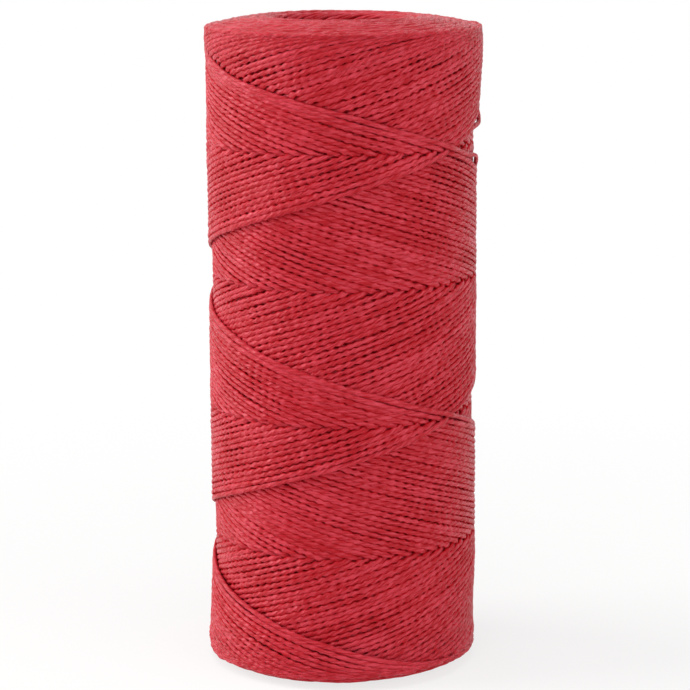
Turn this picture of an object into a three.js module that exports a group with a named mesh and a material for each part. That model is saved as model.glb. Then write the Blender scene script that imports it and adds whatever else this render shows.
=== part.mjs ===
// A cross-wound reel of waxed string: one string, wound in rising and falling strokes on a paperboard tube.
//
// Millimetres, +Z up. The origin is the centre of the bottom rim, which the reel stands on, and the tube's
// axis is Z. The front of the reel faces -Y. The string's outer layer rises on one stroke and falls on the
// next, and each falling stroke lies on top of the rising ones that it crosses.
import * as THREE from "three";
import { mergeVertices } from "three/addons/utils/BufferGeometryUtils.js";

// The wound package
const PACKAGE_HEIGHT = 126; // over both rims
const PACKAGE_DIAMETER = 52; // over the turns, halfway up
const FLARE_DEPTH = 0.6; // how much further out the turns lie at the two ends, on the radius
const FLARE_LENGTH = 22; // how far up or down from an end the flare reaches
const OUTER_EDGE_ROUND = 1.6; // the rounded edge between the side and an end face
const INNER_EDGE_ROUND = 2; // the rounded edge between an end face and the hollow
const END_FACE_FALL = 0.8; // how far an end face falls from the rim towards the side

// The tube
const TUBE_OUTER_DIAMETER = 25;
const TUBE_WALL = 2.2;
const TUBE_SINK = 2.8; // how far the tube's ends lie inside the rims
const TUBE_EDGE_CHAMFER = 0.4;

// The string and the route of its outer layer
const STRING_DIAMETER = 1;
const REVERSAL_DEPTH = 1.3; // from the plane of a rim down to the outer layer's nearest turns
const DOUBLE_STROKES = 5; // one up and one down each
const DOUBLE_STROKE_WHOLE_TURNS = 5; // less one step of the pattern
const REVERSAL_TURNS = 0.16; // the part of a turn over which a rising string rounds over to fall
const STEP_OVER_TURNS = 0.07; // the part of a turn over which it changes between its two levels
const LAYER_TURN_OFFSET = 0.775; // from the front to the first reversal, so that both ends are at the back
const END_BEND_RADIUS = 1; // where each end of the layer turns in towards the tube

// Clearances
const SEAT_GAP = 0.3; // between neighbouring pieces
const CROSSING_GAP = 0.45; // between two stretches of string where they cross

// Facets
const ROUND_FACETS = 64; // round the tube and the wound body
const EDGE_FACETS = 3; // along a rounded edge
const FLARE_FACETS = 5; // along a flared end
const STRING_SIDES = 6;
const STEPS_PER_TURN = 30; // along the string
const BEND_FACETS = 3; // along the bend at each end of the layer
const GAP_SAMPLES_PER_STEP = 10; // points at which the string's gap to itself is measured
const GAP_SKIP_DIAMETERS = 4; // the stretch of string to each side of a point that isn't its neighbour

const FULL_TURN = 2 * Math.PI;
const QUARTER_TURN = Math.PI / 2;

// Sizes that follow from the ones above
const PACKAGE_RADIUS = PACKAGE_DIAMETER / 2;
const TUBE_OUTER_RADIUS = TUBE_OUTER_DIAMETER / 2;
const TUBE_BORE_RADIUS = TUBE_OUTER_RADIUS - TUBE_WALL;
const EDGE_CENTRE_HEIGHT = END_FACE_FALL + OUTER_EDGE_ROUND;
const STRING_RADIUS = STRING_DIAMETER / 2;
const STRING_FLAT_RADIUS = STRING_RADIUS * Math.cos(Math.PI / STRING_SIDES);
const LOWER_LEVEL = SEAT_GAP + STRING_FLAT_RADIUS; // the string's centre above the wound body
const UPPER_LEVEL = LOWER_LEVEL + STRING_DIAMETER + CROSSING_GAP;
const LAYER_DEPTH = UPPER_LEVEL + STRING_FLAT_RADIUS;
const TURNS_PER_DOUBLE_STROKE = DOUBLE_STROKE_WHOLE_TURNS - 1 / DOUBLE_STROKES;
const TURNS_PER_STROKE = TURNS_PER_DOUBLE_STROKE / 2;
const TURNS_PER_CROSSING = 1 / (2 * DOUBLE_STROKES);
// Each end of the layer lies halfway between two crossings, before a lower reversal
const LAYER_START_TURNS = -1.5 * TURNS_PER_CROSSING;
const LAYER_END_TURNS = DOUBLE_STROKES * TURNS_PER_DOUBLE_STROKE - 2.5 * TURNS_PER_CROSSING;

const stringFinish = new THREE.MeshStandardMaterial({
  name: "waxed polyester string",
  color: 0xc63c4c,
  roughness: 0.45,
  metalness: 0,
});
const paperboardFinish = new THREE.MeshStandardMaterial({
  name: "spiral-wound paperboard",
  color: 0xb08d63,
  roughness: 0.9,
  metalness: 0,
});

function namedMesh(name, geometry, material) {
  const mesh = new THREE.Mesh(geometry, material);
  mesh.name = name;
  return mesh;
}

// Turns a closed outline of radius and height round the Z axis; it runs up on the side that faces out
function revolve(outline) {
  const lathe = new THREE.LatheGeometry([...outline, outline[0]], ROUND_FACETS);
  lathe.deleteAttribute("normal");
  lathe.deleteAttribute("uv");
  return mergeVertices(lathe.rotateX(QUARTER_TURN));
}

// The points of a rounded edge, in radius and height, from one angle to another
function edgePoints(centreRadius, centreHeight, round, fromAngle, toAngle) {
  return Array.from({ length: EDGE_FACETS + 1 }, (_, i) => {
    const angle = fromAngle + ((toAngle - fromAngle) * i) / EDGE_FACETS;
    return new THREE.Vector2(
      centreRadius + round * Math.cos(angle),
      centreHeight + round * Math.sin(angle),
    );
  });
}

// The tube: a paperboard pipe with the four corners of its wall broken
function coreTube() {
  const low = TUBE_SINK;
  const high = PACKAGE_HEIGHT - TUBE_SINK;
  const outline = [
    [TUBE_BORE_RADIUS, low + TUBE_EDGE_CHAMFER],
    [TUBE_BORE_RADIUS + TUBE_EDGE_CHAMFER, low],
    [TUBE_OUTER_RADIUS - TUBE_EDGE_CHAMFER, low],
    [TUBE_OUTER_RADIUS, low + TUBE_EDGE_CHAMFER],
    [TUBE_OUTER_RADIUS, high - TUBE_EDGE_CHAMFER],
    [TUBE_OUTER_RADIUS - TUBE_EDGE_CHAMFER, high],
    [TUBE_BORE_RADIUS + TUBE_EDGE_CHAMFER, high],
    [TUBE_BORE_RADIUS, high - TUBE_EDGE_CHAMFER],
  ];
  return revolve(outline.map(([radius, height]) => new THREE.Vector2(radius, height)));
}

// The wound body's radius at a height, which is the package's less the outer layer, wider at the two ends
function bodyRadiusAt(height) {
  const fromEnd = Math.min(height, PACKAGE_HEIGHT - height);
  const flareShare = Math.max(0, 1 - fromEnd / FLARE_LENGTH) ** 2;
  return PACKAGE_RADIUS - LAYER_DEPTH + FLARE_DEPTH * flareShare;
}

// The inner layers: a flared body, hollow round the tube, with rounded rims that are flat where it stands
function innerWinding() {
  const hollowRadius = TUBE_OUTER_RADIUS + SEAT_GAP;
  const rimRadius = hollowRadius + INNER_EDGE_ROUND;
  const edgeRadius = bodyRadiusAt(EDGE_CENTRE_HEIGHT) - OUTER_EDGE_ROUND;
  const landRadius = (rimRadius + edgeRadius) / 2;
  const innerEdge = edgePoints(
    rimRadius,
    INNER_EDGE_ROUND,
    INNER_EDGE_ROUND,
    -2 * QUARTER_TURN,
    -QUARTER_TURN,
  );
  const outerEdge = edgePoints(
    edgeRadius,
    EDGE_CENTRE_HEIGHT,
    OUTER_EDGE_ROUND,
    -QUARTER_TURN,
    0,
  );
  const flare = Array.from({ length: FLARE_FACETS }, (_, i) => {
    const share = (i + 1) / FLARE_FACETS;
    const height = EDGE_CENTRE_HEIGHT + (FLARE_LENGTH - EDGE_CENTRE_HEIGHT) * share;
    return new THREE.Vector2(bodyRadiusAt(height), height);
  });
  const lowerHalf = [...innerEdge, new THREE.Vector2(landRadius, 0), ...outerEdge, ...flare];
  const upperHalf = lowerHalf
    .map((point) => new THREE.Vector2(point.x, PACKAGE_HEIGHT - point.y))
    .reverse();
  return revolve([...lowerHalf, ...upperHalf]);
}

// How many turns the string is past the nearest lower reversal, or short of it where that is negative
function turnsPastLowerReversal(turns) {
  return turns - TURNS_PER_DOUBLE_STROKE * Math.round(turns / TURNS_PER_DOUBLE_STROKE);
}

// The string's height as a share of its travel: a rising and falling wave whose peaks are rounded
function heightShareAt(turns) {
  const fromLower = Math.abs(turnsPastLowerReversal(turns));
  const toReversal = Math.min(fromLower, TURNS_PER_STROKE - fromLower);
  const round = REVERSAL_TURNS / 2;
  const climbed = toReversal < round ? toReversal ** 2 / (2 * round) : toReversal - round / 2;
  const share = climbed / (TURNS_PER_STROKE - round);
  return fromLower < TURNS_PER_STROKE / 2 ? share : 1 - share;
}

// Goes smoothly from 0 to 1 as x goes from -0.5 to 0.5
function smoothStep(x) {
  const share = Math.min(1, Math.max(0, x + 0.5));
  return share * share * (3 - 2 * share);
}

// 0 on the lower level, where the string rises, and 1 on the upper level, where it falls
function levelShareAt(turns) {
  const past = turnsPastLowerReversal(turns);
  if (Math.abs(past) < TURNS_PER_STROKE / 2) return smoothStep(-past / STEP_OVER_TURNS);
  const pastUpper = past - Math.sign(past) * TURNS_PER_STROKE;
  return smoothStep(pastUpper / STEP_OVER_TURNS);
}

// The direction out from the axis after so many turns
function outwardAt(turns) {
  const angle = FULL_TURN * (turns + LAYER_TURN_OFFSET) - QUARTER_TURN;
  return new THREE.Vector3(Math.cos(angle), Math.sin(angle), 0);
}

// The centre line of the outer layer: a level's height above the wound body, and round its outer edges
function centrePointAt(turns) {
  const lowest = REVERSAL_DEPTH + STRING_RADIUS;
  const height = lowest + (PACKAGE_HEIGHT - 2 * lowest) * heightShareAt(turns);
  const level = LOWER_LEVEL + (UPPER_LEVEL - LOWER_LEVEL) * levelShareAt(turns);
  const pastEdge = Math.max(0, EDGE_CENTRE_HEIGHT - Math.min(height, PACKAGE_HEIGHT - height));
  const fromEdgeCentre = Math.sqrt((OUTER_EDGE_ROUND + level) ** 2 - pastEdge ** 2);
  const radius = bodyRadiusAt(height) - OUTER_EDGE_ROUND + fromEdgeCentre;
  return outwardAt(turns).multiplyScalar(radius).setZ(height);
}

// One end of the layer: from the route's last point it bends in and runs straight towards the tube
function endBend(point, outward, along) {
  const bend = Array.from({ length: BEND_FACETS }, (_, i) => {
    const angle = (QUARTER_TURN * (i + 1)) / BEND_FACETS;
    return point
      .clone()
      .addScaledVector(along, END_BEND_RADIUS * Math.sin(angle))
      .addScaledVector(outward, -END_BEND_RADIUS * (1 - Math.cos(angle)));
  });
  const straight = UPPER_LEVEL - END_BEND_RADIUS - SEAT_GAP;
  return [...bend, bend.at(-1).clone().addScaledVector(outward, -straight)];
}

// The layer's whole route, with the direction across the string at each point
function layerRoute() {
  const steps = Math.round((LAYER_END_TURNS - LAYER_START_TURNS) * STEPS_PER_TURN);
  const turns = Array.from({ length: steps + 1 }, (_, i) => {
    return LAYER_START_TURNS + ((LAYER_END_TURNS - LAYER_START_TURNS) * i) / steps;
  });
  const winding = turns.map(centrePointAt);
  const across = winding.map((point, i) => {
    const before = winding[Math.max(0, i - 1)];
    const after = winding[Math.min(steps, i + 1)];
    return after.clone().sub(before).cross(outwardAt(turns[i])).normalize();
  });
  const start = endOfWinding(winding[0], outwardAt(turns[0]), across[0], -1);
  const end = endOfWinding(winding[steps], outwardAt(turns[steps]), across[steps], 1);
  return {
    points: [...start.toReversed(), ...winding, ...end],
    across: [...start.map(() => across[0]), ...across, ...end.map(() => across[steps])],
  };
}

// The bend at an end of the winding, which leaves it in the string's own direction, forwards or backwards
function endOfWinding(point, outward, across, sense) {
  const along = outward.clone().cross(across).multiplyScalar(sense);
  return endBend(point, outward, along);
}

// The outer layer as one unbroken tube of string, with its flats towards the tube and away from it
function outerWinding(route) {
  const rings = route.points.map((point, i) => {
    const before = route.points[Math.max(0, i - 1)];
    const after = route.points[Math.min(route.points.length - 1, i + 1)];
    const along = after.clone().sub(before).normalize();
    const side = route.across[i];
    const out = side.clone().cross(along).normalize();
    return Array.from({ length: STRING_SIDES }, (_, k) => {
      const angle = (FULL_TURN * k) / STRING_SIDES;
      return point
        .clone()
        .addScaledVector(side, STRING_RADIUS * Math.cos(angle))
        .addScaledVector(out, STRING_RADIUS * Math.sin(angle));
    });
  });
  return tubeGeometry(rings);
}

// Joins rings of points into a closed tube with flat ends
function tubeGeometry(rings) {
  const sides = rings[0].length;
  const faces = [];
  for (let i = 0; i < rings.length - 1; i++) {
    for (let k = 0; k < sides; k++) {
      const next = (k + 1) % sides;
      const here = i * sides;
      const there = here + sides;
      faces.push(here + k, there + k, here + next);
      faces.push(here + next, there + k, there + next);
    }
  }
  const last = (rings.length - 1) * sides;
  for (let k = 1; k < sides - 1; k++) {
    faces.push(0, k, k + 1);
    faces.push(last, last + k + 1, last + k);
  }
  const geometry = new THREE.BufferGeometry();
  const positions = rings.flat().flatMap((point) => point.toArray());
  geometry.setAttribute("position", new THREE.Float32BufferAttribute(positions, 3));
  geometry.setIndex(faces);
  return geometry;
}

// The least gap between two stretches of the string, measured between points along its centre line
function leastGap(points) {
  const samples = points.slice(1).flatMap((point, i) => {
    return Array.from({ length: GAP_SAMPLES_PER_STEP }, (_, k) => {
      return points[i].clone().lerp(point, k / GAP_SAMPLES_PER_STEP);
    });
  });
  const travelled = [0];
  for (let i = 1; i < samples.length; i++) {
    travelled.push(travelled[i - 1] + samples[i].distanceTo(samples[i - 1]));
  }
  const skip = GAP_SKIP_DIAMETERS * STRING_DIAMETER;
  let least = Infinity;
  for (let i = 0; i < samples.length; i++) {
    for (let k = i + 1; k < samples.length; k++) {
      if (travelled[k] - travelled[i] < skip) continue;
      least = Math.min(least, samples[i].distanceToSquared(samples[k]));
    }
  }
  return { gap: Math.sqrt(least) - STRING_DIAMETER, length: travelled.at(-1) };
}

const route = layerRoute();
const measured = leastGap(route.points);
console.log(`outer layer: ${measured.length.toFixed(0)} mm of string`);
console.log(`least gap to itself: ${measured.gap.toFixed(3)} mm`);

const reel = new THREE.Group();
reel.add(namedMesh("core_tube", coreTube(), paperboardFinish));
reel.add(namedMesh("inner_winding", innerWinding(), stringFinish));
reel.add(namedMesh("outer_winding", outerWinding(route), stringFinish));

export default reel;
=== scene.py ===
"""The looks of a cross-wound reel of waxed string: its outer layer is wound strand by strand.

Sizes are in millimetres until a mesh is made, which is in metres. +Z is up along the tube, and the front
of the reel faces -Y. Angles round the reel are in turns, from 0 at the front and positive towards +X.
"""

import logging
import math
from collections.abc import Callable, Iterator
from dataclasses import dataclass, field
from enum import Enum
from typing import Any

import bpy
import numpy as np
from mathutils import Matrix, Vector


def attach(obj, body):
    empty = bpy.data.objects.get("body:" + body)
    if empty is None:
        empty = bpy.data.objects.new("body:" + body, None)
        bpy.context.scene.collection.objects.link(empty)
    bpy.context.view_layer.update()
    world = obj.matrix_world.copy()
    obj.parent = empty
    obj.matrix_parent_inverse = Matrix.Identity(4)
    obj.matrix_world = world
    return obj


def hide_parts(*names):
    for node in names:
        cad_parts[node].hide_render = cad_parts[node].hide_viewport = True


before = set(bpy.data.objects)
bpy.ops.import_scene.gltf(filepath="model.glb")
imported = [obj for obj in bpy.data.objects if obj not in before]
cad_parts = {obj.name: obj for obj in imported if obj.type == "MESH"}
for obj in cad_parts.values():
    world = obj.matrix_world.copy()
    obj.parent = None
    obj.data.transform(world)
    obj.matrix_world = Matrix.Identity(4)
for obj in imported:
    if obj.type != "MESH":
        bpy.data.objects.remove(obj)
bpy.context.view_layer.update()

MM = 0.001
FULL_TURN = 2 * math.pi
SEED = 20
# Settings that several nodes share
SMOOTHLY = {"interpolation_type": "SMOOTHSTEP"}
OF_COLOURS = {"data_type": "RGBA"}

log = logging.getLogger("string_reel")


class End(Enum):
    """The two ends of the reel."""

    LOWER = "lower"
    UPPER = "upper"


class Way(Enum):
    """The two ways in which the string crosses the reel."""

    RISING = "rising"
    FALLING = "falling"


def linear(colour: str) -> tuple[float, float, float, float]:
    """Turns an sRGB hex colour to the linear colour that a shader takes.

    Args:
        colour: the colour, such as "c63c4c".

    Returns:
        Linear red, green and blue, and an alpha of 1.
    """
    parts = [int(colour[i : i + 2], 16) / 255 for i in (0, 2, 4)]
    red, green, blue = (c / 12.92 if c <= 0.04045 else ((c + 0.055) / 1.055) ** 2.4 for c in parts)
    return red, green, blue, 1.0


def add_node(
    tree: bpy.types.NodeTree,
    kind: str,
    settings: dict[str, Any] | None = None,
    values: dict[Any, Any] | None = None,
    links: dict[Any, bpy.types.Node | bpy.types.NodeSocket] | None = None,
) -> bpy.types.Node:
    """Adds a shader node with its settings, its unlinked inputs and its links.

    Args:
        tree: the node tree that it goes into.
        kind: the node's type, without the "ShaderNode" that it starts with.
        settings: properties of the node, by name.
        values: values of its inputs, by name or number.
        links: what feeds its inputs, by name or number: a socket, or a node for its first output.

    Returns:
        The new node.
    """
    node = tree.nodes.new("ShaderNode" + kind)
    for name, value in (settings or {}).items():
        setattr(node, name, value)
    for name, value in (values or {}).items():
        node.inputs[name].default_value = value
    for name, source in (links or {}).items():
        socket = source.outputs[0] if isinstance(source, bpy.types.Node) else source
        tree.links.new(socket, node.inputs[name])
    return node


def blank_material(name: str) -> bpy.types.Material:
    """Makes a material with an empty node tree.

    Args:
        name: what the finish is.

    Returns:
        The material.
    """
    material = bpy.data.materials.new(name)
    material.use_nodes = True
    material.node_tree.nodes.clear()
    return material


@dataclass(frozen=True)
class WaxedString:
    """Waxed polyester string, low-twist two-ply, flattened as it is wound.

    The wax gives a broad soft shine, the two plies give faint slanting grooves, and the filaments give
    fine streaks that run nearly along the string; the lighter streaks are pinker, partly a painted highlight.
    Its sides are painted a purer red than its top, as painted shade for the gaps between strands.
    """

    name: str = "waxed_polyester_string"
    # The streaks run from deep to light; the light end is pinker, partly the filaments' own tone, partly a
    # painted highlight
    light: str = "cf3d4d"
    deep: str = "ac0a1a"
    flank_shade: str = "bc0110"  # painted shade: the string's sides, which show as the gaps between strands
    shine: str = "fadcde"
    fuzz: str = "f4b4b8"
    roughness: float = 0.41
    streak_roughness: float = 0.15  # how much rougher or smoother a streak can be
    plies: int = 2
    groove: float = 0.22  # how deep the plies' grooves are, as a share of the bump
    streaks_per_turn: float = 9.0  # filament bundles round the string: each a third of a millimetre wide
    streaks_along: float = 1.3  # and along it, in one turn of its twist: each 2.7 mm long
    streak_slant: float = 0.3  # filaments slant much less than the plies do
    streak_height: float = 0.8  # as a share of the bump
    streak_contrast: float = 3.0  # how much the streaks count for its colour, against the wax and its tone
    flank_roughness: float = 0.5  # how much rougher its sides are, where little wax stays
    wax_patch: float = 9.09  # how far across a patch of thicker wax is
    bump: float = 0.24

    def material(self) -> bpy.types.Material:
        """Builds the material, which reads the string's own UV map: twist along it, and share round it.

        Returns:
            The material.
        """
        material = blank_material(self.name)
        tree = material.node_tree
        uv = add_node(tree, "UVMap", {"uv_map": "string"})
        split = add_node(tree, "SeparateXYZ", links={0: uv})
        along, around = split.outputs[0], split.outputs[1]
        # Faint grooves between the plies
        ply = add_node(tree, "Math", {"operation": "SUBTRACT"}, links={0: around, 1: along})
        angle = add_node(tree, "Math", {"operation": "MULTIPLY"}, {1: self.plies * FULL_TURN}, {0: ply})
        wave = add_node(tree, "Math", {"operation": "COSINE"}, links={0: angle})
        groove_range = {"From Min": -0.35, "From Max": -1.0, "To Max": self.groove}
        groove = add_node(tree, "MapRange", SMOOTHLY, groove_range, {"Value": wave})
        # Streaks of filaments
        slanted = {0: along, 2: around}
        slant = add_node(tree, "Math", {"operation": "MULTIPLY_ADD"}, {1: -self.streak_slant}, slanted)
        streak_place = add_node(tree, "CombineXYZ", links={0: slant, 1: along})
        streak_size = {1: (self.streaks_per_turn, self.streaks_along, 1.0)}
        scaled = add_node(tree, "VectorMath", {"operation": "MULTIPLY"}, streak_size, {0: streak_place})
        grain = {"Scale": 1.0, "Detail": 3.0, "Roughness": 0.6}
        streaks = add_node(tree, "TexNoise", {"noise_dimensions": "2D"}, grain, {"Vector": scaled})
        # Broad patches where the wax lies thicker
        place = add_node(tree, "TexCoord")
        cloud = {"Scale": 1 / (self.wax_patch * MM), "Detail": 3.0, "Roughness": 0.55}
        wax = add_node(tree, "TexNoise", {}, cloud, {"Vector": place.outputs["Object"]})
        wax_range = {"From Min": 0.3, "From Max": 0.7, "To Min": 0.2, "To Max": 0.6}
        patches = add_node(tree, "MapRange", {}, wax_range, {"Value": wax})
        tone = add_node(tree, "Attribute", {"attribute_name": "tone"})
        both = {0: streaks, 2: patches}
        plain = add_node(tree, "Math", {"operation": "MULTIPLY_ADD"}, {1: self.streak_contrast}, both)
        with_tone = {0: plain, 1: tone.outputs["Fac"]}
        shade = add_node(tree, "Math", {"operation": "ADD"}, links=with_tone)
        ramp = add_node(tree, "MapRange", {}, {"From Min": 1.5, "From Max": 2.5}, {"Value": shade})
        # The light end is pinker: partly the filaments' own tone, partly a painted highlight of the wax's
        # shine
        reds = {6: linear(self.deep), 7: linear(self.light)}
        body = add_node(tree, "Mix", OF_COLOURS, reds, {"Factor": ramp})
        # Painted shade: the sides, where the share round the string is near 0 or a half, take a purer red
        doubled = add_node(tree, "Math", {"operation": "MULTIPLY"}, {1: 2 * FULL_TURN}, {0: around})
        sideways = add_node(tree, "Math", {"operation": "COSINE"}, links={0: doubled})
        side = add_node(tree, "MapRange", SMOOTHLY, {"From Min": -0.35}, {"Value": sideways})
        # Where the sides lie open, on the newest strands, at the rims and partly on the end faces, they get
        # no painted shade
        waxed_unshaded_sides = add_node(tree, "Attribute", {"attribute_name": "waxed_unshaded_sides"})
        held = {"operation": "SUBTRACT", "use_clamp": True}
        flank_shade = add_node(tree, "Math", held, links={0: side, 1: waxed_unshaded_sides.outputs["Fac"]})
        over_body = {"Factor": flank_shade, 6: body.outputs[2]}
        colour = add_node(tree, "Mix", OF_COLOURS, {7: linear(self.flank_shade)}, over_body)
        rough_range = {
            "From Min": 0.35,
            "From Max": 0.65,
            "To Min": self.roughness + self.streak_roughness,
            "To Max": self.roughness - self.streak_roughness,
        }
        rough = add_node(tree, "MapRange", {}, rough_range, {"Value": streaks})
        # Little wax stays on the sides, so that they hardly shine
        held = {"operation": "MULTIPLY_ADD", "use_clamp": True}
        side_rough = add_node(tree, "Math", held, {1: self.flank_roughness}, {0: flank_shade, 2: rough})
        raised = add_node(tree, "Math", {"operation": "MULTIPLY"}, {1: self.streak_height}, {0: streaks})
        height = add_node(tree, "Math", {"operation": "SUBTRACT"}, links={0: raised, 1: groove})
        relief = {"Strength": 0.8, "Distance": self.bump * MM}
        bump = add_node(tree, "Bump", {}, relief, {"Height": height})
        shader_values = {
            "IOR": 1.5,
            "Subsurface Weight": 0.3,
            "Subsurface Radius": (1.0, 0.25, 0.25),
            "Subsurface Scale": 0.4 * MM,
            "Specular IOR Level": 0.27,
            "Specular Tint": linear(self.shine),
            "Sheen Weight": 0.02,
            "Sheen Roughness": 0.5,
            "Sheen Tint": linear(self.fuzz),
        }
        shader_links = {"Base Color": colour.outputs[2], "Roughness": side_rough, "Normal": bump}
        shader = add_node(tree, "BsdfPrincipled", {}, shader_values, shader_links)
        add_node(tree, "OutputMaterial", links={"Surface": shader})
        return material


@dataclass(frozen=True)
class SpiralPaperboard:
    """Spiral-wound kraft paperboard: matt, with the butted edge of the outer ply winding round the tube."""

    name: str = "spiral_wound_paperboard"
    face: str = "b9986c"
    fleck: str = "8f6f48"
    seam: str = "7a5c3a"
    ply_width: float = 38.0  # the width of the paper strip
    seam_share: float = 0.018  # how much of that the butted edge takes
    fibre: float = 1.111  # the length of a wood fibre
    roughness: float = 0.85
    bump: float = 0.15

    def material(self) -> bpy.types.Material:
        """Builds the material on the tube's own Object coordinates.

        Returns:
            The material.
        """
        material = blank_material(self.name)
        tree = material.node_tree
        place = add_node(tree, "TexCoord")
        split = add_node(tree, "SeparateXYZ", links={0: place.outputs["Object"]})
        across = {0: split.outputs[1], 1: split.outputs[0]}
        angle = add_node(tree, "Math", {"operation": "ARCTAN2"}, links=across)
        turns = add_node(tree, "Math", {"operation": "DIVIDE"}, {1: FULL_TURN}, {0: angle})
        strips_up = {1: 1 / (self.ply_width * MM)}
        climbs = add_node(tree, "Math", {"operation": "MULTIPLY"}, strips_up, {0: split.outputs[2]})
        spiral = add_node(tree, "Math", {"operation": "ADD"}, links={0: climbs, 1: turns})
        strip = add_node(tree, "Math", {"operation": "FRACT"}, links={0: spiral})
        seam_range = {"From Min": self.seam_share, "From Max": 0.0}
        seam = add_node(tree, "MapRange", SMOOTHLY, seam_range, {"Value": strip})
        # Wood fibres in the paper, which show as flecks
        grain = {"Scale": 1 / (self.fibre * MM), "Detail": 4.0, "Roughness": 0.7}
        fibres = add_node(tree, "TexNoise", {}, grain, {"Vector": place.outputs["Object"]})
        fleck_range = {"From Min": 0.45, "From Max": 0.8, "To Max": 0.7}
        flecks = add_node(tree, "MapRange", {}, fleck_range, {"Value": fibres})
        browns = {6: linear(self.face), 7: linear(self.fleck)}
        face = add_node(tree, "Mix", OF_COLOURS, browns, {"Factor": flecks})
        over_face = {"Factor": seam, 6: face.outputs[2]}
        colour = add_node(tree, "Mix", OF_COLOURS, {7: linear(self.seam)}, over_face)
        height = add_node(tree, "Math", {"operation": "SUBTRACT"}, links={0: fibres, 1: seam})
        relief = {"Strength": 0.5, "Distance": self.bump * MM}
        bump = add_node(tree, "Bump", {}, relief, {"Height": height})
        shader_values = {"IOR": 1.45, "Roughness": self.roughness}
        shader_links = {"Base Color": colour.outputs[2], "Normal": bump}
        shader = add_node(tree, "BsdfPrincipled", {}, shader_values, shader_links)
        add_node(tree, "OutputMaterial", links={"Surface": shader})
        return material


@dataclass
class PackageShape:
    """The outline of the wound package, without its steps."""

    height: float = 126.4
    radius: float = 25.9
    lower_flare: tuple[float, float] = (0.45, 16.0)  # how far out, and over what height
    upper_flare: tuple[float, float] = (0.8, 34.0)
    flare_power: float = 1.5  # how suddenly a flare opens
    # Where an end face is highest, how far it falls from there to its edge, and how suddenly
    lower_face: tuple[float, float, float] = (17.0, 1.5, 2.6)
    upper_face: tuple[float, float, float] = (15.5, 1.8, 1.4)
    face_edge: float = 0.4  # how far past the radius an end face's edge lies
    hollow_radius: float = 12.8
    inner_round: float = 2.0

    def side_radius(self, height: np.ndarray) -> np.ndarray:
        """The mean radius of the outer layer's surface.

        Args:
            height: heights above the bottom rim.

        Returns:
            The radius at each.
        """
        side = np.full(np.shape(height), self.radius)
        flares = ((self.lower_flare, height), (self.upper_flare, self.height - height))
        for (depth, length), distance in flares:
            side = side + depth * np.clip(1 - distance / length, 0, 1) ** self.flare_power
        return side

    def end_drop(self, end: End, radius: np.ndarray) -> np.ndarray:
        """How far an end face lies inside the plane of its rim.

        Args:
            end: which end of the reel.
            radius: distances from the axis.

        Returns:
            The drop at each.
        """
        crest, fall, power = self.lower_face if end is End.LOWER else self.upper_face
        share = np.clip((radius - crest) / (self.radius + self.face_edge - crest), 0, 2)
        inwards = np.clip(self.hollow_radius + self.inner_round - radius, 0, self.inner_round)
        return fall * share**power + (self.inner_round - np.sqrt(self.inner_round**2 - inwards**2))


@dataclass
class WindingPlan:
    """How the string is traversed, and where the photograph's pattern places its newest strands."""

    pitch: float = 51.2  # climb in one turn
    strands: int = 46  # side by side in one pitch, and double strokes in one layer
    double_stroke: int = 5  # the turns of one climb and one descent, but for one strand's step
    newest_rising: float = 0.858  # where the last rising strand crosses the front, in pitches
    upper_corner: float = 2.5025  # in pitches: where the strokes would meet if their turn were sharp
    upper_peak: float = 124.1
    lower_peak: float = 2.35
    peak_fall: float = 0.35  # how much further from the rims the newest reversals lie than the oldest
    peak_wander: float = 0.08
    wander: float = 0.07  # how far a strand strays sideways
    # The waves that it strays in: the shortest and longest that one can be, and its size
    stray_waves: tuple[tuple[float, float, float], ...] = ((6, 11, 0.15),) + 4 * ((16, 90, 0.7),)
    calm: float = 0.2  # turns on each side of a reversal over which its straying dies down
    lean: float = 0.65  # how much higher the lower reversals lie on the right side than on average
    slip: float = 1.8  # how far the last falling strand has slipped down near the upper end
    slip_place: float = 0.19  # in turns past the reversal
    slip_reach: float = 0.09
    slip_strands: int = 4

    @property
    def step(self) -> float:
        """The part of a pitch between neighbouring strands."""
        return 1 / self.strands

    @property
    def cycle(self) -> float:
        """The turns from one rising strand to the next."""
        return self.double_stroke + self.step

    @property
    def lower_corner(self) -> float:
        """The sharp corner at the lower end, in pitches."""
        return self.upper_corner - self.cycle / 2

    @property
    def stroke_turns(self) -> float:
        """The turns of one stroke."""
        return self.upper_corner - self.lower_corner

    @property
    def newest_falling(self) -> float:
        """Where the last falling strand crosses the front, in pitches."""
        return 2 * self.upper_corner - self.newest_rising

    def sharp_height(self, height: np.ndarray) -> np.ndarray:
        """The height that an unrounded stroke would have at the same place along it.

        Args:
            height: heights above the bottom rim.

        Returns:
            Heights in pitches.
        """
        sharp = height / self.pitch
        ends = ((self.upper_corner, self.upper_peak, 1), (self.lower_corner, self.lower_peak, -1))
        for corner, peak, sense in ends:
            depth = abs(corner * self.pitch - peak)
            below = np.clip(sense * (peak - height), 0, depth)
            rounded = corner - sense * 2 * depth / self.pitch * np.sqrt(below / depth)
            sharp = np.where(sense * (peak - height) < depth, rounded, sharp)
        return sharp


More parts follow.
